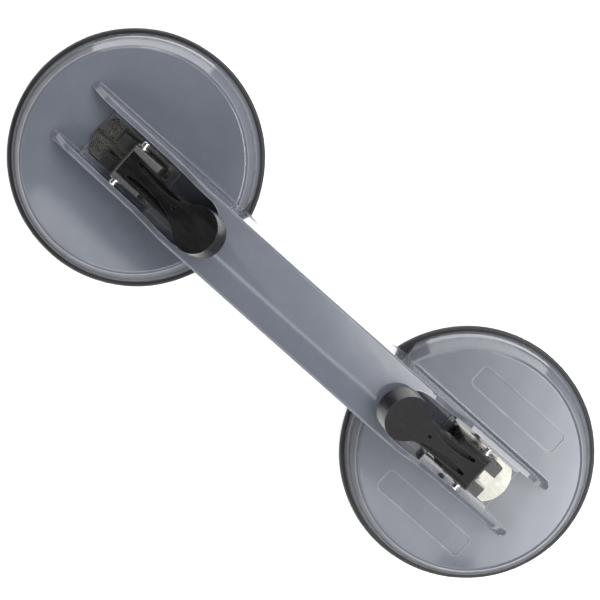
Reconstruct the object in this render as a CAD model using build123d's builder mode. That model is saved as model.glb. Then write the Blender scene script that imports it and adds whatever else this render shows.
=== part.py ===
"""Hand-operated vacuum lifter: two rubber suction cups under one cast handle.

Millimetres. +X runs along the handle, +Z is up. The origin is midway between the
cups, on the surface that they stick to. The part is drawn locked: both levers are
folded in over the handle, and both rubber cups are pulled up in the middle.
"""

import os
from math import cos, pi, radians, sin, sqrt, tan

from build123d import *

# ---------------------------------------------------------------- overall sizes
cup_spacing = 208.0          # centre of one cup to centre of the other
cup_radius = 60.0            # widest circle of the rubber
dish_height = 21.8           # flat top of each cast dish above the surface
handle_height = 58.4         # long edges of the handle's top, mid-length
handle_width = 31.9          # across the top edges of the handle
pin_height = 44.5            # lever pin above the surface, locked
lever_travel = 9.5           # how far a lever pulls the middle of its cup up
lever_swing = 100.0          # degrees from locked to released

# ---------------------------------------------------------------- fits
clearance = 0.3              # between pieces that must not touch
bite = 1.0                   # joined shapes and cuts run this far past each other
running = 0.05               # radial, shaft in bush and lever on pin
cam_clearance = 0.1          # between a cam and its wear plate

# ---------------------------------------------------------------- cast dish
dish_wall = 3.0              # top of the dish
lip_inset = 2.1              # rubber shows this far outside the casting
lip_wall = 5.5               # thickness of the lip at its foot
cavity_lean = 1.0            # cavity narrows this much up to the ledge
lip_round = 0.7              # outer edge of the lip's foot
ledge_inset = 1.9            # from the lip in to the top of the outer wall
ledge_height = 13.0
cone_inset = 4.0             # from the ledge in to the flat top
lip_lean = 0.1               # lip's outer face, foot to top of the foot's rounding
lip_foot = 1.0
ledge_edge = (0.3, 0.4)      # slope off the outer wall onto the ledge
ledge_flat = 0.5
cone_edge = (0.6, 0.8)       # slope off the cone onto the flat top
dish_radii = [lip_round, 0.3, 0.5, 0.3, 0.8, 1.0]
notch_cut = 4.9              # lip is cut straight across, beside the handle
notch_half = 27.0            # half the width of that cut
throat_cut = 2.7             # and between the handle's walls

# ---------------------------------------------------------------- handle
handle_crown = 1.2           # middle of the top above its edges
handle_draft = 0.5           # degrees, outer side faces
grip_depth = 20.0            # top edge down to the underside, mid-length
web_wall = 3.2               # top web of the handle
channel_half = 13.0          # half the space between the side walls
slot_end = 50.2              # lever slot, its end inboard of the cup centre
shoulder_reach = 32.0        # top turns down this far inboard of the cup centre
shoulder_drop = 1.9          # and is this far below the mid-length
heel_reach = 16.0            # top turns level again
heel_drop = 15.9
rib_end = 38.0               # ribs end this far outboard of the cup centre
rib_run = 11.0               # steep end of each rib
rib_drop = 7.5               # rib crest falls this much over the dish
rib_sink = 0.8               # rib ends run into the dish
rib_tip = 2.2                # rounded end face stands this far back from there
crest_radii = [22, 14, 10]   # shoulder, heel and rib end
middle_radius = 600.0        # the gentle peak at mid-length
edge_round = 1.2             # long outer edges
leg_thick = 3.0              # handle's foot, inboard of the lip's straight cut
leg_gap = 0.7                # foot above the rubber
leg_slope = 17.0             # underside rises over this length
under_radii = [2, 14, 14, 2]
foot_fillet = 1.2            # where the ribs meet the flat top

# ---------------------------------------------------------------- lever well
well_rise = 1.2              # raised pad under the wear plate
well_end = 20.5
cheek_outboard = 20.0        # low walls each side of the wear plate
cheek_inboard = 19.0
cheek_low = 4.5              # their tops above the well, outboard end
cheek_high = 10.0            # and inboard end
cheek_round = 2.0
panel_length = 50.0          # shallow panels on one dish
panel_width = 11.2
panel_offset = 32.6          # panel middle from the handle's middle plane
panel_shift = 1.0            # and outboard of the cup centre
panel_depth = 0.8
panel_round = 2.5

# ---------------------------------------------------------------- wear plate, bush
plate_width = 20.6
plate_thick = 1.5
plate_outboard = 21.4
plate_inboard = 17.0
plate_end_radius = 14.0
plate_hole_gap = 0.4         # radial, round the stem
bush_radius = 6.0
boss_radius = 8.4
boss_depth = 3.0

# ---------------------------------------------------------------- stem, core, spring
stem_radius = 3.1
stem_head = 4.2              # rounded top of the stem, from the pin axis
collar_radius = 5.5
collar_thick = 1.2
spigot_radius = 2.2
core_radius = 24.0
core_thick = 2.0
core_holes = 6
core_hole_radius = 2.5
core_hole_circle = 17.0
washer_thick = 0.8
washer_radius = 17.4
core_round = 0.5
spring_wire = 1.2
spring_turns = 2.5
spring_top_radius = 9.9
spring_foot_radius = 15.8
spring_gap = 0.1
spring_points = 12           # points of the coil's line for each turn

# ---------------------------------------------------------------- rubber cup
rim_thick = 3.5
rim_widest = 2.0             # height of the widest circle
rim_width = 12.0
rim_taper = 2.0              # underside of the rim is wider than its top
rim_top_inset = 0.7          # top and foot of the rim's edge, in from the widest circle
rim_foot_inset = 0.9
membrane = 2.5
membrane_flat = 1.0          # top stays level this far past the core
groove_rings = 3             # sealing grooves under the rim
ring_step = 3.0
ring_radius = 0.6
ring_outer = 56.0

# ---------------------------------------------------------------- lever
fork_width = 18.0
slot_gap = 0.2               # fork to stem, each side
web_edge = 3.6               # web over the fork starts this far outboard of the pin
head_gap = 0.6               # space over the top of the stem
hub_top = 6.8
toe_flat = 4.6               # flat that rests on the plate when released
toe_top = (9.8, 2.8)
heel_back = -15.0
heel_rise = 8.0              # slant of the fork's back below the hip
cam_steps = 8                # points that the cam's curve is drawn through
hip = (-13.0, 4.0)           # top of the fork where it runs under the arm
fork_radii = [0.8, 2.0, 2.0, 2.5, 3.0]
arm_angle = 27.0             # degrees above level when locked
arm_low = -3.0               # underside and top of the arm, from the pin axis
arm_high = 7.0
arm_start = -6.0
hub_half = 6.4               # half the arm's width at the hub
waist_half = 5.7             # and at the neck
waist_reach = 31.0
paddle_reach = 49.5          # pin to the middle of the round thumb paddle
paddle_radius = 11.0
neck_blend = 9.0
pocket_spine = [(6.5, 3.3), (18.0, 2.1), (29.0, 2.8), (36.5, 4.6)]  # inner edge of a pocket
pocket_flange = 0.9          # wall outside a pocket
pocket_depth = 3.4
gate_reach = 34.5            # small moulding recess
gate_depth = 1.6
gate_size = (2.8, 1.5)
lever_edge = 0.6

# ---------------------------------------------------------------- pin and clips
pin_radius = 1.6
pin_half = 12.4
pin_chamfer = 0.4
clip_groove = 1.25           # radius left in the pin's grooves
clip_radius = 3.0
clip_thick = 0.7
clip_gap = 0.15              # clip to fork
clip_opening = 1.9

# ---------------------------------------------------------------- worked out
half_spacing = cup_spacing / 2
lip_radius = cup_radius - lip_inset
ledge_radius = lip_radius - ledge_inset
top_radius = ledge_radius - cone_inset
notch_reach = lip_radius - notch_cut
throat_reach = lip_radius - throat_cut
leg_reach = notch_reach + leg_thick
cavity_radius = lip_radius - lip_wall
ceiling = dish_height - dish_wall
well_top = dish_height + well_rise
plate_top = well_top + plate_thick
cam_height = pin_height - plate_top - cam_clearance
swing = radians(lever_swing)
cam_rate = lever_travel / swing
membrane_top = lever_travel + membrane
core_foot = membrane_top + clearance / 2
core_top = core_foot + core_thick
washer_foot = ceiling - washer_thick
spring_foot = core_top + spring_wire / 2 + spring_gap
spring_head = washer_foot - spring_wire / 2 - spring_gap
top_half = handle_width / 2
draft_slope = tan(radians(handle_draft))
arm_tilt = radians(arm_angle)
fork_slot = 2 * (stem_radius + slot_gap)
web_clear = stem_head + head_gap

os.makedirs("parts", exist_ok=True)


def save(piece, name):
    """Label one finished piece and write it to its own file."""
    piece.part.label = name
    export_step(piece.part, f"parts/{name}.step")


def side_view(sign, height=0.0):
    """Upright plane along the handle through a cup centre: local X is outboard, Y is up."""
    return Plane(origin=(sign * half_spacing, 0, height), x_dir=(sign, 0, 0), z_dir=(0, -sign, 0))


def level(sign, height):
    """Level plane over one cup centre: local X is outboard."""
    return Plane(origin=(sign * half_spacing, 0, height), x_dir=(sign, 0, 0), z_dir=(0, 0, 1))


def arm_plane(sign):
    """Plane of one lever's arm through its pin: local X runs along the arm."""
    return Plane(
        origin=(sign * half_spacing, 0, pin_height),
        x_dir=(-sign * cos(arm_tilt), 0, sin(arm_tilt)),
        z_dir=(sign * sin(arm_tilt), 0, cos(arm_tilt)),
    )


def arm_axis(sign):
    """Direction square to one lever's arm, out of its top."""
    return Axis((sign * half_spacing, 0, pin_height), (sign * sin(arm_tilt), 0, cos(arm_tilt)))


def cup_axis(sign):
    """Upright axis of one cup."""
    return Axis((sign * half_spacing, 0, 0), (0, 0, 1))


def crest_points(rise):
    """Top line of the handle and ribs over their whole length, raised by rise."""
    half = [
        (half_spacing - shoulder_reach, handle_height - shoulder_drop + rise),
        (half_spacing - heel_reach, handle_height - heel_drop + rise),
        (half_spacing + rib_end - rib_run, handle_height - heel_drop - rib_drop + rise),
        (half_spacing + rib_end, dish_height - rib_sink + rise),
    ]
    mirrored = [(-x, z) for x, z in reversed(half)]
    return mirrored + [(0, handle_height + rise)] + half


def side_half(height):
    """Half the handle's width at one height, between its drafted sides."""
    return top_half + (handle_height - height) * draft_slope


def cam_point(turn):
    """Point of the cam whose outward normal is turned this far from straight down.

    The distance from pin to tangent falls evenly with the turn, so the cup is let
    down evenly as the lever opens.
    """
    reach = cam_height - cam_rate * turn
    return (reach * sin(turn) - cam_rate * cos(turn), -reach * cos(turn) - cam_rate * sin(turn))


def coil_point(sign, share):
    """Point of one conical spring's wire, from its foot at share 0 to its top at 1."""
    turn = 2 * pi * spring_turns * share
    radius = spring_foot_radius + (spring_top_radius - spring_foot_radius) * share
    return (
        sign * half_spacing + radius * cos(turn),
        radius * sin(turn),
        spring_foot + (spring_head - spring_foot) * share,
    )


# ================================================================= cast body
all_radii = list(reversed(crest_radii)) + [middle_radius] + crest_radii
leg_inner = (sqrt(cavity_radius**2 - channel_half**2) + notch_reach) / 2
leg_out_x = half_spacing - leg_reach
leg_in_x = half_spacing - leg_inner
leg_foot = rim_thick + leg_gap
grip_under = handle_height - grip_depth
rib_x = half_spacing + rib_end
rib_foot = ceiling + dish_wall / 3
rib_half = (top_half - channel_half) / 2
foot_half = side_half(dish_height)

with BuildPart() as handle_blank:
    with BuildSketch(Plane.XZ):
        with BuildLine():
            crest = FilletPolyline(*crest_points(handle_crown), radius=all_radii)
            right = Polyline(crest @ 1, (rib_x, rib_foot), (leg_in_x, rib_foot), (leg_in_x, leg_foot))
            under = FilletPolyline(
                right @ 1,
                (leg_out_x, leg_foot),
                (leg_out_x - leg_slope, grip_under),
                (leg_slope - leg_out_x, grip_under),
                (-leg_out_x, leg_foot),
                (-leg_in_x, leg_foot),
                radius=under_radii,
            )
            Polyline(under @ 1, (-leg_in_x, rib_foot), (-rib_x, rib_foot), crest @ 0)
        make_face()
    extrude(amount=2 * top_half, both=True)
    # drafted outer sides
    with BuildSketch(Plane.YZ):
        with BuildLine():
            Polyline(
                (side_half(0), 0),
                (side_half(2 * handle_height), 2 * handle_height),
                (3 * top_half, 2 * handle_height),
                (3 * top_half, 0),
                close=True,
            )
        make_face()
        mirror(about=Plane.YZ)
    extrude(amount=2 * rib_x, both=True, mode=Mode.SUBTRACT)

# everything above the crowned top, carried along the crest
crown_radius = (top_half**2 + handle_crown**2) / (2 * handle_crown)
trim_half = 1.3 * foot_half
trim_drop = crown_radius - sqrt(crown_radius**2 - trim_half**2)
trim_depth = 4 * handle_crown

with BuildPart() as above_crown:
    with BuildLine(Plane.XZ) as crown_line:
        FilletPolyline(*crest_points(handle_crown), radius=all_radii)
    with BuildSketch(Plane(origin=crown_line.line @ 0, x_dir=(0, 1, 0), z_dir=crown_line.line % 0)):
        with BuildLine():
            ThreePointArc((-trim_half, -trim_drop), (0, 0), (trim_half, -trim_drop))
            Polyline(
                (trim_half, -trim_drop),
                (trim_half, trim_depth),
                (-trim_half, trim_depth),
                (-trim_half, -trim_drop),
            )
        make_face()
    sweep(path=crown_line.line)

# one dish: a cast shell with its lip cut straight across on the inboard side
dishes = {}
for sign in (-1, 1):
    with BuildPart() as dish:
        with BuildSketch(side_view(sign)):
            with BuildLine():
                outside = FilletPolyline(
                    (cavity_radius, rim_thick),
                    (lip_radius, rim_thick),
                    (lip_radius - lip_lean, rim_thick + lip_foot),
                    (ledge_radius + ledge_edge[0], ledge_height - ledge_edge[1]),
                    (ledge_radius - ledge_flat, ledge_height),
                    (top_radius + cone_edge[0], dish_height - cone_edge[1]),
                    (top_radius - cone_edge[0], dish_height),
                    (0, dish_height),
                    radius=dish_radii,
                )
                Polyline(
                    outside @ 1,
                    (0, ceiling),
                    (top_radius - dish_wall, ceiling),
                    (cavity_radius - cavity_lean, ledge_height),
                    outside @ 0,
                )
            make_face()
        revolve(axis=cup_axis(sign))
        with BuildSketch(level(sign, 0)):
            with Locations((-notch_reach, 0)):
                Rectangle(cup_radius, 2 * notch_half, align=(Align.MAX, Align.CENTER))
            with Locations((-notch_reach, 0)):
                Rectangle(
                    throat_reach - notch_reach,
                    channel_half + top_half,
                    align=(Align.MAX, Align.CENTER),
                    mode=Mode.SUBTRACT,
                )
        extrude(amount=dish_height, mode=Mode.SUBTRACT)
    dishes[sign] = dish.part

with BuildPart() as body:
    add(handle_blank.part)
    add(above_crown.part, mode=Mode.SUBTRACT)
    long_edges = edges().filter_by(
        lambda e: abs(e.center().Y) > top_half - 1
        and e.center().Z > dish_height + rib_sink
        and e.length > 3
        and abs((e % 0.5).Y) < 0.3
    )
    fillet(long_edges, edge_round)
    # open channel under the top web
    with BuildSketch(Plane.XZ):
        with BuildLine():
            web = FilletPolyline(*crest_points(-web_wall), radius=all_radii)
            Polyline(web @ 1, (rib_x, 0), (-rib_x, 0), web @ 0)
        make_face()
    extrude(amount=channel_half, both=True, mode=Mode.SUBTRACT)
    # slots that the levers fold through
    slot_centre = channel_half - slot_end
    for sign in (-1, 1):
        with BuildSketch(level(sign, rib_foot - bite)):
            with Locations((slot_centre, 0)):
                Circle(channel_half)
                Rectangle(rib_end - slot_centre + bite, 2 * channel_half, align=(Align.MIN, Align.CENTER))
        extrude(amount=handle_height, mode=Mode.SUBTRACT)
    # rounded ends of the ribs
    for sign in (-1, 1):
        with BuildSketch(level(sign, 0)):
            for face in (-1, 1):
                with Locations((rib_end - rib_tip - rib_half, face * (channel_half + rib_half))):
                    Rectangle(2 * rib_tip + 4 * rib_half, 4 * rib_half, align=(Align.MIN, Align.CENTER))
                    Circle(rib_half, mode=Mode.SUBTRACT)
        extrude(amount=handle_height, mode=Mode.SUBTRACT)
    for sign in (-1, 1):
        add(dishes[sign])
    # raised well under each wear plate, between the ribs
    for sign in (-1, 1):
        with BuildSketch(level(sign, ceiling + bite)):
            Rectangle(2 * well_end, 2 * channel_half + bite)
        extrude(amount=well_top - ceiling - bite)
        # low cheek walls beside the plate, rising towards the handle
        cheek_in = plate_width / 2 + clearance
        cheek_out = channel_half + bite / 2
        cheek_length = cheek_outboard + cheek_inboard
        for face in (-1, 1):
            with BuildSketch(level(sign, ceiling + bite)) as cheek_plan:
                with Locations(((cheek_outboard - cheek_inboard) / 2, face * (cheek_in + cheek_out) / 2)):
                    Rectangle(cheek_length, cheek_out - cheek_in)
                outboard_corners = cheek_plan.vertices().group_by(Axis.X)[-1]
                fillet(outboard_corners.sort_by(lambda v: abs(v.Y))[0], cheek_round)
            extrude(amount=well_top + cheek_high - ceiling - bite)
        with BuildSketch(side_view(sign)):
            Polygon(
                (-cheek_inboard, well_top + cheek_high),
                (cheek_outboard, well_top + cheek_low),
                (cheek_outboard + bite, well_top + cheek_high + bite),
                (-cheek_inboard, well_top + cheek_high + bite),
                align=None,
            )
        extrude(amount=channel_half, both=True, mode=Mode.SUBTRACT)
        # boss and bore for the bush
        with BuildSketch(level(sign, ceiling - boss_depth)):
            Circle(boss_radius)
        extrude(amount=boss_depth + bite)
        with BuildSketch(level(sign, ceiling - boss_depth)):
            Circle(bush_radius)
        extrude(amount=boss_depth + dish_wall + well_rise + bite, mode=Mode.SUBTRACT)
    # shallow panels either side of the ribs, on one dish only
    with BuildSketch(level(1, dish_height)):
        with Locations((panel_shift, panel_offset), (panel_shift, -panel_offset)):
            RectangleRounded(panel_length, panel_width, panel_round)
    extrude(amount=-panel_depth, mode=Mode.SUBTRACT)
    root_edges = edges().filter_by_position(Axis.Z, dish_height - 0.01, dish_height + 0.01).filter_by(
        lambda e: abs(abs(e.center().Y) - foot_half) < 0.5 and e.length > 20
    )
    fillet(root_edges, foot_fillet)
save(body, "body")

# ================================================================= each side's pieces
for side, sign in (("left", -1), ("right", 1)):
    # ------------------------------------------------------------- rubber cup
    with BuildPart() as rubber_cup:
        with BuildSketch(side_view(sign)):
            with BuildLine():
                Polyline(
                    (0, membrane_top),
                    (core_radius + membrane_flat, membrane_top),
                    (cup_radius - rim_width, rim_thick),
                    (cup_radius - rim_top_inset, rim_thick),
                    (cup_radius, rim_widest),
                    (cup_radius - rim_foot_inset, 0),
                    (cup_radius - rim_width - rim_taper, 0),
                    (core_radius, lever_travel),
                    (0, lever_travel),
                    close=True,
                )
            make_face()
            with Locations(*[(ring_outer - ring_step * i, 0) for i in range(groove_rings)]):
                Circle(ring_radius, mode=Mode.SUBTRACT)
        revolve(axis=cup_axis(sign))
    save(rubber_cup, f"{side}_rubber_cup")

    # ------------------------------------------------------------- steel core in the rubber
    with BuildPart() as core_plate:
        with BuildSketch(level(sign, core_foot)):
            Circle(core_radius)
            Circle(spigot_radius, mode=Mode.SUBTRACT)
            with PolarLocations(core_hole_circle, core_holes):
                Circle(core_hole_radius, mode=Mode.SUBTRACT)
        extrude(amount=core_thick)
        rim = edges().filter_by(GeomType.CIRCLE).sort_by(SortBy.RADIUS)[-2:]
        fillet(rim, core_round)
    save(core_plate, f"{side}_core_plate")

    # ------------------------------------------------------------- stem
    with BuildPart() as stem:
        with BuildSketch(level(sign, core_foot)):
            Circle(spigot_radius)
        extrude(amount=core_thick)
        with BuildSketch(level(sign, core_top)):
            Circle(collar_radius)
        extrude(amount=collar_thick)
        with BuildSketch(level(sign, core_top)):
            Circle(stem_radius)
        extrude(amount=pin_height + stem_head - core_top)
        # top rounded about the pin axis
        with BuildSketch(side_view(sign, pin_height)):
            with Locations((0, stem_head)):
                Rectangle(4 * stem_radius, 2 * stem_head)
            Circle(stem_head, mode=Mode.SUBTRACT)
        extrude(amount=stem_radius + bite, both=True, mode=Mode.SUBTRACT)
        with BuildSketch(side_view(sign, pin_height)):
            Circle(pin_radius)
        extrude(amount=stem_radius + bite, both=True, mode=Mode.SUBTRACT)
    save(stem, f"{side}_stem")

    # ------------------------------------------------------------- guide bush
    with BuildPart() as guide_bush:
        with BuildSketch(level(sign, ceiling - boss_depth)):
            Circle(bush_radius)
            Circle(stem_radius + running, mode=Mode.SUBTRACT)
        extrude(amount=boss_depth + dish_wall + well_rise)
    save(guide_bush, f"{side}_guide_bush")

    # ------------------------------------------------------------- spring washer and spring
    with BuildPart() as spring_washer:
        with BuildSketch(level(sign, washer_foot)):
            Circle(washer_radius)
            Circle(boss_radius + clearance, mode=Mode.SUBTRACT)
        extrude(amount=washer_thick)
    save(spring_washer, f"{side}_spring_washer")

    with BuildPart() as return_spring:
        with BuildLine() as coil:
            last = round(spring_points * spring_turns)
            Spline(*[coil_point(sign, i / last) for i in range(last + 1)])
        with BuildSketch(Plane(origin=coil.line @ 0, z_dir=coil.line % 0)):
            Circle(spring_wire / 2)
        sweep(path=coil.line)
    save(return_spring, f"{side}_return_spring")

    # ------------------------------------------------------------- wear plate
    with BuildPart() as wear_plate:
        with BuildSketch(level(sign, well_top)):
            with Locations((plate_outboard - plate_end_radius, 0)):
                Circle(plate_end_radius)
                Rectangle(2 * plate_end_radius, plate_width, mode=Mode.INTERSECT)
            with Locations((-plate_inboard, 0)):
                Rectangle(
                    plate_inboard + plate_outboard - plate_end_radius,
                    plate_width,
                    align=(Align.MIN, Align.CENTER),
                )
            Circle(stem_radius + plate_hole_gap, mode=Mode.SUBTRACT)
        extrude(amount=plate_thick)
    save(wear_plate, f"{side}_wear_plate")

    # ------------------------------------------------------------- pin and clips
    with BuildPart() as pivot_pin:
        with BuildSketch(side_view(sign, pin_height)):
            Circle(pin_radius)
        extrude(amount=pin_half, both=True)
        chamfer(edges().filter_by(GeomType.CIRCLE), pin_chamfer)
        for face in (-1, 1):
            with BuildSketch(side_view(sign, pin_height).offset(face * (fork_width / 2 + clip_gap))):
                Circle(pin_radius + bite)
                Circle(clip_groove, mode=Mode.SUBTRACT)
            extrude(amount=face * clip_thick, mode=Mode.SUBTRACT)
    save(pivot_pin, f"{side}_pivot_pin")

    with BuildPart() as pin_clips:
        for face in (-1, 1):
            with BuildSketch(side_view(sign, pin_height).offset(face * (fork_width / 2 + clip_gap))):
                Circle(clip_radius)
                Circle(clip_groove, mode=Mode.SUBTRACT)
                with Locations((0, -clip_radius)):
                    Rectangle(clip_opening, 2 * clip_radius, mode=Mode.SUBTRACT)
            extrude(amount=face * clip_thick)
    save(pin_clips, f"{side}_pin_clips")

    # ------------------------------------------------------------- lever
    with BuildPart() as lever:
        # two cam cheeks
        with BuildSketch(side_view(sign, pin_height)):
            with BuildLine():
                cam_line = Spline(
                    *[cam_point(swing * i / cam_steps) for i in range(cam_steps + 1)],
                    tangents=[(1, 0), (cos(swing), sin(swing))],
                )
                toe = Line(
                    cam_line @ 1,
                    (cam_line @ 1) + Vector(cos(swing), sin(swing)) * toe_flat,
                )
                FilletPolyline(
                    toe @ 1,
                    toe_top,
                    (web_edge, hub_top),
                    hip,
                    (heel_back, hip[1] - heel_rise),
                    (heel_back, -cam_height),
                    cam_line @ 0,
                    radius=fork_radii,
                )
            make_face()
        extrude(amount=fork_width / 2, both=True)
        # arm and thumb paddle
        with BuildSketch(arm_plane(sign).offset(arm_low)) as arm_plan:
            Polygon(
                (arm_start, hub_half),
                (arm_start, -hub_half),
                (waist_reach, -waist_half),
                (paddle_reach, -waist_half),
                (paddle_reach, waist_half),
                (waist_reach, waist_half),
                align=None,
            )
            with Locations((paddle_reach, 0)):
                Circle(paddle_radius)
            neck_corners = arm_plan.vertices().filter_by(lambda v: v.X > waist_reach + 1)
            fillet(neck_corners, neck_blend)
        extrude(amount=arm_high - arm_low)
        # room outboard of the web and round the stem
        with BuildSketch(side_view(sign, pin_height)):
            with Locations((web_edge, 0)):
                Rectangle(fork_width, 2 * fork_width, align=(Align.MIN, Align.MIN))
        extrude(amount=fork_width / 2, both=True, mode=Mode.SUBTRACT)
        with BuildSketch(side_view(sign, pin_height)):
            with Locations((-stem_radius - clearance, 0)):
                Rectangle(2 * fork_width, cam_height + bite, align=(Align.MIN, Align.MAX))
            Rectangle(2 * fork_width, web_clear, align=(Align.MIN, Align.MIN))
            Circle(web_clear)
        extrude(amount=fork_slot / 2, both=True, mode=Mode.SUBTRACT)
        top_rim = faces().sort_by(arm_axis(sign))[-1].edges()
        fillet(top_rim, lever_edge)
        # pockets either side of the spine
        with BuildSketch(arm_plane(sign).offset(arm_high)):
            for face in (-1, 1):
                with BuildLine():
                    inner = Spline(*[(reach, face * half) for reach, half in pocket_spine])
                    Polyline(
                        inner @ 1,
                        (pocket_spine[-1][0], face * (waist_half - pocket_flange)),
                        (pocket_spine[0][0], face * (waist_half - pocket_flange)),
                        inner @ 0,
                    )
                make_face()
        extrude(amount=-pocket_depth, mode=Mode.SUBTRACT)
        # small moulding recess
        with BuildSketch(arm_plane(sign).offset(arm_high)):
            with Locations((gate_reach, 0)):
                SlotOverall(*gate_size)
        extrude(amount=-gate_depth, mode=Mode.SUBTRACT)
        with BuildSketch(side_view(sign, pin_height)):
            Circle(pin_radius + running)
        extrude(amount=fork_width, both=True, mode=Mode.SUBTRACT)
    save(lever, f"{side}_lever")
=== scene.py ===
"""Looks of the two-cup vacuum lifter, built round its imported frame. Metres."""

from math import cos, pi, radians, sin

import bpy
from mathutils import Matrix, Quaternion, Vector


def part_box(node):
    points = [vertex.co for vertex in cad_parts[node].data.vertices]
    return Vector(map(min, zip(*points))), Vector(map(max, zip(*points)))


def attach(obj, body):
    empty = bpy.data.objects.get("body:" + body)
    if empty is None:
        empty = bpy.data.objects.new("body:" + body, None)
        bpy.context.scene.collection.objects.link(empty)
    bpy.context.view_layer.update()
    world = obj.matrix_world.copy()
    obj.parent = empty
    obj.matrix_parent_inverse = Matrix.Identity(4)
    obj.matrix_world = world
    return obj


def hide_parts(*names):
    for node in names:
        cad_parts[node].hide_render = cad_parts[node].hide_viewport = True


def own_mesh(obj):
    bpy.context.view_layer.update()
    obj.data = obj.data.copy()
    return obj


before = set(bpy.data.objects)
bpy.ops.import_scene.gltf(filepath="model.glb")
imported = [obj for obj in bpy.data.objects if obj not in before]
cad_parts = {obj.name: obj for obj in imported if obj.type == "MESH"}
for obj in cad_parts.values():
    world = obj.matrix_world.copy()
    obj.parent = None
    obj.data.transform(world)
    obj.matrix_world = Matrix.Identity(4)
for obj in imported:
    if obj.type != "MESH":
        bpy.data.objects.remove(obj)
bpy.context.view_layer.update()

SIDES = {"left": -1, "right": 1}
MM = 0.001
pin_low, pin_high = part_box("right_pivot_pin")
CUP_X = (pin_low.x + pin_high.x) / 2
CONE_FROM, CONE_TO = 0.0525, 0.0531      # radius where the flat top of a dish gives way to its cone
CONE_BELOW, TOP_ABOVE = 0.0216, 0.0222   # heights just under and over that flat top
LIT_SECTOR_TOWARDS, SHADED_TOWARDS = 121, 230  # degrees round each cup: the middle of the stretch kept glossy and unshaded as a painted highlight, and the way the painted shade is darkest


# ---------------------------------------------------------------- materials
class Look:
    """One node material: a Principled surface with helpers for its textures."""

    def __init__(self, name, **constants):
        self.material = bpy.data.materials.new(name)
        self.material.use_nodes = True
        self.nodes = self.material.node_tree.nodes
        self.links = self.material.node_tree.links
        self.shader = self.nodes["Principled BSDF"]
        for socket, value in constants.items():
            self.shader.inputs[socket.replace("_", " ")].default_value = value
        self.place = self.nodes.new("ShaderNodeTexCoord").outputs["Object"]

    def add(self, kind, inputs=(), **settings):
        """A new node, with its settings and inputs (a value or a socket) filled in."""
        node = self.nodes.new(kind)
        for key, value in settings.items():
            setattr(node, key, value)
        for key, value in dict(inputs).items():
            self.feed(node.inputs[key], value)
        return node

    def feed(self, socket, value):
        if isinstance(value, bpy.types.NodeSocket):
            self.links.new(value, socket)
        else:
            socket.default_value = value

    def stretched(self, scale):
        """Object coordinates, scaled differently along X, Y and Z."""
        return self.add("ShaderNodeMapping", {"Vector": self.place, "Scale": scale}).outputs[0]

    def noise(self, scale, detail=3.0, rough=0.55, vector=None):
        node = self.add(
            "ShaderNodeTexNoise",
            {"Vector": vector or self.place, "Scale": scale, "Detail": detail, "Roughness": rough},
        )
        return node.outputs["Fac"]

    def cells(self, scale, vector=None):
        """Distance from the middle of the nearest random cell."""
        node = self.add("ShaderNodeTexVoronoi", {"Vector": vector or self.place, "Scale": scale})
        return node.outputs["Distance"]

    def band(self, value, low, high, start=0.0, end=1.0):
        """Value from low to high, mapped to start to end and held outside."""
        node = self.add(
            "ShaderNodeMapRange",
            {"Value": value, "From Min": low, "From Max": high, "To Min": start, "To Max": end},
        )
        return node.outputs[0]

    def maths(self, operation, a, b=0.0):
        node = self.add("ShaderNodeMath", operation=operation)
        self.feed(node.inputs[0], a)
        self.feed(node.inputs[1], b)
        return node.outputs[0]

    def mix(self, share, a, b):
        node = self.add("ShaderNodeMix", data_type="RGBA")
        self.feed(node.inputs[0], share)
        for socket, value in ((node.inputs[6], a), (node.inputs[7], b)):
            self.feed(socket, value if isinstance(value, bpy.types.NodeSocket) else (*value, 1))
        return node.outputs[2]

    def split(self):
        """X, Y and Z of the place."""
        return self.add("ShaderNodeSeparateXYZ", {"Vector": self.place}).outputs

    def towards(self, x, y, radius, angle):
        """1 where the point lies at that angle, in degrees, falling to -1 on the far side."""
        across = self.maths("MULTIPLY", x, cos(radians(angle)))
        along = self.maths("MULTIPLY", y, sin(radians(angle)))
        return self.maths("DIVIDE", self.maths("ADD", across, along), radius)

    def edges(self, radius):
        """1 on edges sharper than the radius, 0 on flat faces."""
        rounded = self.add("ShaderNodeBevel", {"Radius": radius}, samples=4).outputs[0]
        true = self.add("ShaderNodeNewGeometry").outputs["Normal"]
        agree = self.add("ShaderNodeVectorMath", {0: rounded, 1: true}, operation="DOT_PRODUCT")
        return self.band(agree.outputs["Value"], 0.995, 0.93)

    def bump(self, *layers):
        """Stacked bumps, each a height and a depth in metres."""
        normal = None
        for height, depth in layers:
            inputs = {"Height": height, "Distance": depth}
            if normal:
                inputs["Normal"] = normal
            normal = self.add("ShaderNodeBump", inputs).outputs[0]
        self.feed(self.shader.inputs["Normal"], normal)

    def colour(self, value):
        self.feed(self.shader.inputs["Base Color"], value)

    def roughness(self, value):
        self.feed(self.shader.inputs["Roughness"], value)


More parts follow.
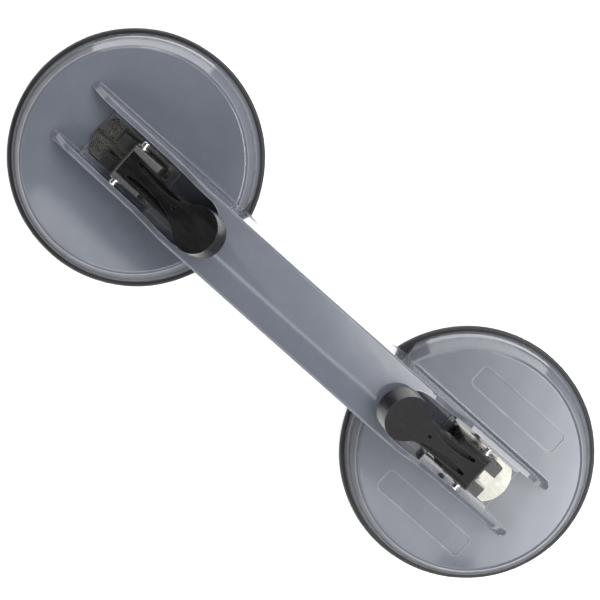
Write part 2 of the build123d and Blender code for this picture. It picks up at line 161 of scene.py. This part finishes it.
def enamel():
    """Slate grey stoved enamel on a casting: soft orange peel, dust and small pits, with painted
    highlights along sharp edges and painted shade on the ring round each dish.
    """
    k = Look("slate_enamel", Coat_Roughness=0.06, Specular_IOR_Level=0.05)
    clouds = k.noise(14, 4)
    fine = k.noise(160, 4, 0.6)
    base = k.mix(k.band(clouds, 0.35, 0.65), (0.087, 0.096, 0.118), (0.097, 0.106, 0.129))
    base = k.mix(k.band(fine, 0.45, 0.8, 0, 0.35), base, (0.118, 0.127, 0.148))
    # dust specks and small dark pits, more of them on the worn dish
    wear_and_edge_highlight = k.band(k.split()[0], 0.05, 0.09, 0.12, 1.0)
    spots = k.cells(330)
    patches = k.band(k.noise(38, 2), 0.5, 0.66)
    pits = k.maths("MULTIPLY", k.band(spots, 0.13, 0.05), k.maths("MULTIPLY", patches, wear_and_edge_highlight))
    base = k.mix(k.maths("MULTIPLY", pits, 0.75), base, (0.03, 0.03, 0.032))
    dust = k.maths("MULTIPLY", k.band(k.cells(520), 0.1, 0.04), k.band(k.noise(22, 2), 0.5, 0.75))
    base = k.mix(k.maths("MULTIPLY", dust, 0.4), base, (0.30, 0.31, 0.33))
    # painted shade on the steep ring outside each flat top, darkest on one side, left off over one
    # stretch that stays fully glossy as a painted highlight
    x, y, z = k.split()
    out = k.maths("SUBTRACT", x, k.maths("MULTIPLY", k.maths("SIGN", x), CUP_X))
    radius = k.maths("SQRT", k.maths("ADD", k.maths("MULTIPLY", out, out), k.maths("MULTIPLY", y, y)))
    ring = k.maths("MULTIPLY", k.band(radius, CONE_FROM, CONE_TO), k.band(z, TOP_ABOVE, CONE_BELOW))
    lit_sector = k.maths("MULTIPLY", ring, k.band(k.towards(out, y, radius, LIT_SECTOR_TOWARDS), 0.85, 0.87))
    faces_shade = k.towards(out, y, radius, SHADED_TOWARDS)
    painted_shade = k.maths("MULTIPLY", ring, k.band(faces_shade, -1, 1, 0.1, 0.5))
    painted_shade = k.maths("MULTIPLY", painted_shade, k.maths("SUBTRACT", 1.0, lit_sector))
    # painted shade: the ring's colour taken towards near black by that mask
    base = k.mix(painted_shade, base, (0.012, 0.012, 0.013))
    dull = k.maths("SUBTRACT", ring, lit_sector)
    # full coat only over the lit stretch of the ring, so it shines there as a painted highlight; the
    # rest of the ring is duller
    k.feed(k.shader.inputs["Coat Weight"], k.maths("SUBTRACT", 1.0, k.maths("MULTIPLY", dull, 0.85)))
    # painted highlight: sharp edges lightened towards pale grey, broken up by the fine noise
    edge_highlight = k.edges(0.0009)
    edge_highlight = k.maths("MULTIPLY", edge_highlight, k.band(fine, 0.3, 0.6, 0.25, 0.7))
    base = k.mix(edge_highlight, base, (0.30, 0.31, 0.33))
    k.colour(base)
    smears = k.noise(1, 4, vector=k.stretched((30, 120, 60)))
    k.roughness(k.band(smears, 0.3, 0.75, 0.33, 0.46))
    k.bump((k.noise(420, 2), 0.00005), (k.noise(60, 2), 0.0002), (pits, -0.00006))
    return k.material


def rubber():
    """Black moulded rubber with a dull bloom and fine flow marks."""
    k = Look("black_rubber", Specular_IOR_Level=0.4)
    bloom = k.noise(45, 5)
    grain = k.noise(900, 3, 0.6)
    base = k.mix(k.band(bloom, 0.4, 0.72), (0.009, 0.009, 0.010), (0.022, 0.022, 0.023))
    dust = k.band(k.cells(800), 0.1, 0.03, 0, 0.5)
    base = k.mix(k.maths("MULTIPLY", dust, k.band(k.noise(60, 2), 0.5, 0.7)), base, (0.09, 0.09, 0.088))
    k.colour(base)
    k.roughness(k.band(bloom, 0.3, 0.7, 0.42, 0.6))
    k.bump((grain, 0.00004), (bloom, 0.0001))
    return k.material


def plastic():
    """Black glossy moulded plastic with faint grain, flow marks and handling dust, and painted
    highlights along its sharp edges.
    """
    k = Look("black_plastic", Specular_IOR_Level=0.5)
    flow = k.noise(1, 4, vector=k.stretched((60, 190, 90)))
    base = k.mix(k.band(flow, 0.35, 0.7), (0.003, 0.003, 0.0034), (0.006, 0.006, 0.0065))
    specks = k.maths("MULTIPLY", k.band(k.cells(620), 0.09, 0.03), k.band(k.noise(50, 2), 0.48, 0.7))
    base = k.mix(k.maths("MULTIPLY", specks, 0.5), base, (0.10, 0.10, 0.10))
    # painted highlight: sharp edges lightened, broken up by noise
    wear_and_edge_highlight = k.edges(0.0006)
    wear_and_edge_highlight = k.maths("MULTIPLY", wear_and_edge_highlight, k.band(k.noise(300, 3), 0.35, 0.7, 0.1, 0.8))
    base = k.mix(wear_and_edge_highlight, base, (0.05, 0.05, 0.05))
    k.colour(base)
    k.roughness(k.band(flow, 0.3, 0.75, 0.2, 0.36))
    k.bump((k.noise(1200, 2), 0.00001), (k.noise(110, 2), 0.00008))
    return k.material


def steel(name, colour, rough, brush, dull=0.8):
    """Bare or plated steel: brushed along one way, with stains and fine scratches."""
    k = Look(name, Metallic=1.0)
    lines = k.noise(1, 5, 0.7, vector=k.stretched(brush))
    stain = k.noise(130, 4)
    dark = tuple(dull * c for c in colour)
    base = k.mix(k.band(stain, 0.4, 0.7), colour, dark)
    base = k.mix(k.band(lines, 0.5, 0.75, 0, 0.5), base, tuple(0.7 * c for c in colour))
    k.colour(base)
    k.roughness(k.band(lines, 0.3, 0.7, rough - 0.06, rough + 0.1))
    k.bump((lines, 0.000012), (k.noise(90, 2), 0.00006))
    return k.material


looks = {
    "body_paint": enamel(),
    "rubber": rubber(),
    "black_plastic": plastic(),
    "plated_steel": steel("zinc_plate", (0.24, 0.236, 0.212), 0.16, (60, 420, 400)),
    "bright_steel": steel("bright_steel", (0.68, 0.68, 0.68), 0.2, (2200, 160, 400)),
    "spring_steel": steel("spring_steel", (0.42, 0.42, 0.43), 0.3, (700, 700, 700)),
    "bronze": steel("bronze", (0.52, 0.34, 0.15), 0.32, (300, 300, 1600)),
}
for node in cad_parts.values():
    for place in node.material_slots:
        place.material = looks[place.material.name.split(".")[0]]


# ---------------------------------------------------------------- mesh helpers
def add_piece(name, points, faces, slot, sharp=35):
    """A smooth mesh piece with sharp edges kept, in the material of that slot."""
    mesh = bpy.data.meshes.new(name)
    mesh.from_pydata([tuple(p) for p in points], [], faces)
    mesh.polygons.foreach_set("use_smooth", [True] * len(mesh.polygons))
    mesh.set_sharp_from_angle(angle=radians(sharp))
    mesh.materials.append(looks[slot])
    piece = bpy.data.objects.new(name, mesh)
    bpy.context.scene.collection.objects.link(piece)
    return piece


def lathe(name, centre_x, profile, slot, turns=360, wave=None):
    """A closed ring turned about an upright axis. A profile point at radius 0 closes to a pole."""
    points, faces, rings = [], [], []
    for radius, height in profile:
        if radius == 0:
            rings.append([len(points)])
            points.append((centre_x, 0, height * MM))
            continue
        rings.append(list(range(len(points), len(points) + turns)))
        for i in range(turns):
            a = 2 * pi * i / turns
            r = (radius + (wave(radius, a) if wave else 0)) * MM
            points.append((centre_x + r * cos(a), r * sin(a), height * MM))
    closed = profile[0][0] > 0
    pairs = list(zip(rings, rings[1:])) + ([(rings[-1], rings[0])] if closed else [])
    for low, high in pairs:
        for i in range(turns):
            j = (i + 1) % turns
            if len(low) == 1:
                faces.append((low[0], high[i], high[j]))
            elif len(high) == 1:
                faces.append((low[j], low[i], high[0]))
            else:
                faces.append((low[i], high[i], high[j], low[j]))
    return add_piece(name, points, faces, slot)


def arc(centre, radius, start, end, steps=6):
    """Points of an arc in a profile, angles in degrees."""
    angles = [radians(start + (end - start) * i / steps) for i in range(steps + 1)]
    return [(centre[0] + radius * cos(a), centre[1] + radius * sin(a)) for a in angles]


# ---------------------------------------------------------------- rubber cups
# millimetres, in each cup's own section
RIM_OUT = 60.2
RIM_IN = 48.0
SEAL_RINGS = (50.0, 53.0, 56.0)
RING_RADIUS = 0.6
CORE_RADIUS = 24.0
MEMBRANE_TOP, MEMBRANE_FOOT = 12.0, 9.5


def rim_profile():
    """Outline of the rim: sealing grooves beneath, a parting line round the edge."""
    under = [(RIM_IN - 2, 0.0)]
    for ring in SEAL_RINGS:
        under += arc((ring, 0.0), RING_RADIUS, 180, 0, 8)
    edge = arc((RIM_OUT - 1.0, 0.35), 0.35, -90, -10, 4)
    edge += [(RIM_OUT - 0.25, 1.75), (RIM_OUT, 1.9), (RIM_OUT, 2.1), (RIM_OUT - 0.25, 2.25)]
    edge += arc((RIM_OUT - 1.0, 2.95), 0.5, 0, 90, 5)
    top = [(RIM_OUT - 1.5, 3.45), (RIM_OUT - 1.9, 3.3), (RIM_OUT - 2.6, 3.3), (RIM_OUT - 2.9, 3.49)]
    return under + edge + top + [(RIM_IN, 3.49)]


def membrane_profile():
    """Outline of the drawn-up middle: a flat disc on a cone, with soft bends."""
    top = [(0, MEMBRANE_TOP), (CORE_RADIUS / 2, MEMBRANE_TOP), (CORE_RADIUS - 0.5, MEMBRANE_TOP)]
    top += arc((CORE_RADIUS, MEMBRANE_TOP - 2), 2.0, 85, 68, 4)
    top += [(26.5 + (RIM_IN - 26.5) * t, 11.45 + (3.49 - 11.45) * t) for t in (0.1, 0.35, 0.65, 1.0)]
    low = [(RIM_IN - 2, 0.0), (40, 2.59), (31, 6.48), (25, 9.05), (23, 9.45)]
    low += [(CORE_RADIUS / 2, MEMBRANE_FOOT), (0, MEMBRANE_FOOT)]
    return top + low


def rim_wave(phase):
    """Slight waviness of the rubber's free edge."""

    def wave(radius, angle):
        if radius < RIM_OUT - 1.2:
            return 0.0
        return -0.06 + 0.05 * sin(3 * angle + phase) + 0.03 * sin(11 * angle + 2 * phase)

    return wave


for side, sign in SIDES.items():
    node = f"{side}_rubber_cup"
    rim = lathe(f"{side}_cup_rim", sign * CUP_X, rim_profile(), "rubber", wave=rim_wave(sign))
    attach(rim, "casting")
    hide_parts(node)
    membrane = lathe(f"{side}_cup_membrane", sign * CUP_X, membrane_profile(), "rubber")
    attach(membrane, "casting")
    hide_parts(node)
    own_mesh(membrane)


# ---------------------------------------------------------------- floor
def floor():
    """A plain pale sheet that the lifter lies on."""
    half = 3.0
    mesh = bpy.data.meshes.new("floor")
    corners = [(-half, -half, 0), (half, -half, 0), (half, half, 0), (-half, half, 0)]
    mesh.from_pydata(corners, [], [(0, 1, 2, 3)])
    k = Look("floor_card", Specular_IOR_Level=0.3, Emission_Color=(1, 1, 1, 1), Emission_Strength=0.25)
    k.colour(k.mix(k.noise(3, 2), (0.90, 0.90, 0.90), (0.92, 0.92, 0.92)))
    k.roughness(k.band(k.noise(40, 3), 0.3, 0.7, 0.6, 0.7))
    mesh.materials.append(k.material)
    piece = bpy.data.objects.new("floor", mesh)
    bpy.context.scene.collection.objects.link(piece)


floor()


# ---------------------------------------------------------------- light
def softbox(name, place, aim, width, height, radiance, turn=0.0):
    """An even area light, its brightness given as radiance, turned about its own axis."""
    light = bpy.data.lights.new(name, "AREA")
    light.shape = "RECTANGLE"
    light.size = width
    light.size_y = height
    light.energy = radiance * pi * width * height
    lamp = bpy.data.objects.new(name, light)
    lamp.location = place
    lamp.rotation_mode = "QUATERNION"
    face = (Vector(aim) - Vector(place)).to_track_quat("-Z", "Y")
    lamp.rotation_quaternion = face @ Quaternion((0, 0, 1), turn)
    bpy.context.scene.collection.objects.link(lamp)


# a graded panel overhead: dim over the left cup, brightening towards +X and +Y, with a
# thin bright border along its near edge, and two wide fills out of the mirror's way
PANEL_HEIGHT = 1.0
PANEL_NEAR, PANEL_DEPTH = -0.155, 1.1
GRADE_TURN = radians(26.6)
GRADE_FROM, GRADE_TO, GRADE_STEPS = -0.06, 0.28, 12
KEY_TO = 0.75
DIM_RADIANCE, KEY_RADIANCE = 0.7, 8.6


def overhead(name, x0, x1, y0, y1, radiance, turn=0.0):
    """A level panel that shines straight down, its outline turned about the middle."""
    spot = Matrix.Rotation(turn, 3, "Z") @ Vector(((x0 + x1) / 2, (y0 + y1) / 2, PANEL_HEIGHT))
    softbox(name, spot, (spot.x, spot.y, 0), x1 - x0, y1 - y0, radiance, turn)


def graded(name, along0, along1, radiance):
    """One strip of the graded panel, its near end kept on the straight border."""
    middle = (along0 + along1) / 2
    near = (PANEL_NEAR - middle * sin(GRADE_TURN)) / cos(GRADE_TURN)
    overhead(name, along0, along1, near, near + PANEL_DEPTH, radiance, GRADE_TURN)


step = (GRADE_TO - GRADE_FROM) / GRADE_STEPS
for i in range(GRADE_STEPS):
    share = (i + 1) / (GRADE_STEPS + 1)
    along = GRADE_FROM + step * i
    graded(f"grade{i}", along, along + step, DIM_RADIANCE + (KEY_RADIANCE - DIM_RADIANCE) * share**4)
graded("key", GRADE_TO, KEY_TO, KEY_RADIANCE)
overhead("border", -0.16, 0.30, PANEL_NEAR - 0.03, PANEL_NEAR, 3.4)
overhead("front", -1.2, 1.2, -1.9, -0.6, 3.6)
overhead("back", -1.6, -0.1, 0.4, 1.9, 3.2)
softbox("side", (1.6, 0.0, 1.15), (0, 0, 0.05), 0.9, 0.9, 0.9)
softbox("low_back", (-0.95, 1.06, 0.42), (0, 0, 0.03), 1.2, 0.45, 2.5)

world = bpy.data.worlds.new("studio")
bpy.context.scene.world = world
world.use_nodes = True
world.node_tree.nodes["Background"].inputs["Color"].default_value = (0.95, 0.97, 1.0, 1)
world.node_tree.nodes["Background"].inputs["Strength"].default_value = 0.06
bpy.context.scene.view_settings.view_transform = "Standard"

# ---------------------------------------------------------------- camera
camera = bpy.data.cameras.new("camera")
camera.sensor_width = 36
camera.lens = 158.5
camera.clip_start = 0.05
camera.clip_end = 20
eye = bpy.data.objects.new("camera", camera)
right = Vector((0.74468, 0.66740, -0.00528))
up = Vector((-0.66360, 0.73955, -0.11266))
away = Vector((-0.07129, 0.08740, 0.99362))
eye.matrix_world = Matrix((right, up, away)).transposed().to_4x4()
eye.location = (-0.0909, 0.1095, 1.2305)
bpy.context.scene.collection.objects.link(eye)
bpy.context.scene.camera = eye

bpy.context.view_layer.update()
